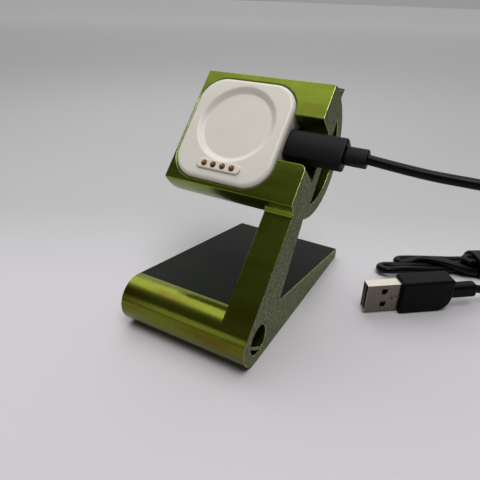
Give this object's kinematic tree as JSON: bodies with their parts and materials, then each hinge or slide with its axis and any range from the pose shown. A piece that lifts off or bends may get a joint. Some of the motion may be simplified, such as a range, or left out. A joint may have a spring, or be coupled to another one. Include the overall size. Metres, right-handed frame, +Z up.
{
  "type": "smartwatch stand",
  "caption": "Z-shaped printed stand whose tilted head holds a round-cornered charging dock with sprung contacts, with its charging lead plugged in and tied in a hank.",
  "frame": {"origin": "under the middle of the stand's base, on the surface that it rests on", "axes": "+Z up, +Y to the rear along the base, +X to the side where the leg and the plug are"},
  "size_m": [0.1552, 0.1435, 0.0844],
  "materials": {
    "stand_print": "semi-gloss olive green print",
    "base_foam": "matt black",
    "dock_shell": "satin warm white",
    "dock_lower": "satin warm white",
    "dock_rubber": "matt grey",
    "screw_steel": "zinc plated",
    "board_laminate": "solder mask",
    "chip_body": "matt",
    "socket_steel": "stamped, tin plated",
    "socket_plastic": "moulded",
    "magnet_nickel": "nickel plated",
    "barrel_brass": "gold plated",
    "pin_gold": "gold plated",
    "spring_steel": "drawn wire",
    "plug_black": "fine moulded grain",
    "plug_steel": "stamped, nickel plated",
    "lead_jacket": "satin black",
    "tie_black": "satin black",
    "insert_white": "moulded black",
    "contact_gold": "gold plated"
  },
  "bodies": {
    "stand": {"stand_body": "stand_print", "base_pad": "base_foam", "dock_cover": "dock_shell", "dock_base_cover": "dock_lower", "dock_foot": "dock_rubber", "cover_screws": "screw_steel", "circuit_board": "board_laminate", "charge_chip": "chip_body", "socket_shell": "socket_steel", "socket_tongue": "socket_plastic", "dock_magnet": "magnet_nickel", "pin_barrels": "barrel_brass", "plug_tip": "plug_steel", "plug_grip": "plug_black", "plug_relief": "plug_black", "lead_near_run": "lead_jacket", "lead_hank": "lead_jacket", "lead_tie": "tie_black", "lead_far_run": "lead_jacket", "far_boot": "plug_black", "far_grip": "plug_black", "far_shell": "plug_steel", "far_insert": "insert_white", "far_contacts": "contact_gold", "contact_spring_1": "spring_steel", "contact_spring_2": "spring_steel", "contact_spring_3": "spring_steel", "contact_spring_4": "spring_steel"},
    "contact_pin_1": {"contact_pin_1": "pin_gold"},
    "contact_pin_2": {"contact_pin_2": "pin_gold"},
    "contact_pin_3": {"contact_pin_3": "pin_gold"},
    "contact_pin_4": {"contact_pin_4": "pin_gold"}
  },
  "joints": [
    {"name": "pin_travel_1", "type": "slide", "parent": "stand", "child": "contact_pin_1", "axis": [0, 0.7254, -0.6884], "range_m": [0, 0.0009], "stiffness_N_per_m": 300, "springref_m": -0.001, "deforming": ["contact_spring_1"]},
    {"name": "pin_travel_2", "type": "slide", "parent": "stand", "child": "contact_pin_2", "axis": [0, 0.7254, -0.6884], "range_m": [0, 0.0009], "stiffness_N_per_m": 300, "springref_m": -0.001, "deforming": ["contact_spring_2"]},
    {"name": "pin_travel_3", "type": "slide", "parent": "stand", "child": "contact_pin_3", "axis": [0, 0.7254, -0.6884], "range_m": [0, 0.0009], "stiffness_N_per_m": 300, "springref_m": -0.001, "deforming": ["contact_spring_3"]},
    {"name": "pin_travel_4", "type": "slide", "parent": "stand", "child": "contact_pin_4", "axis": [0, 0.7254, -0.6884], "range_m": [0, 0.0009], "stiffness_N_per_m": 300, "springref_m": -0.001, "deforming": ["contact_spring_4"]}
  ]
}
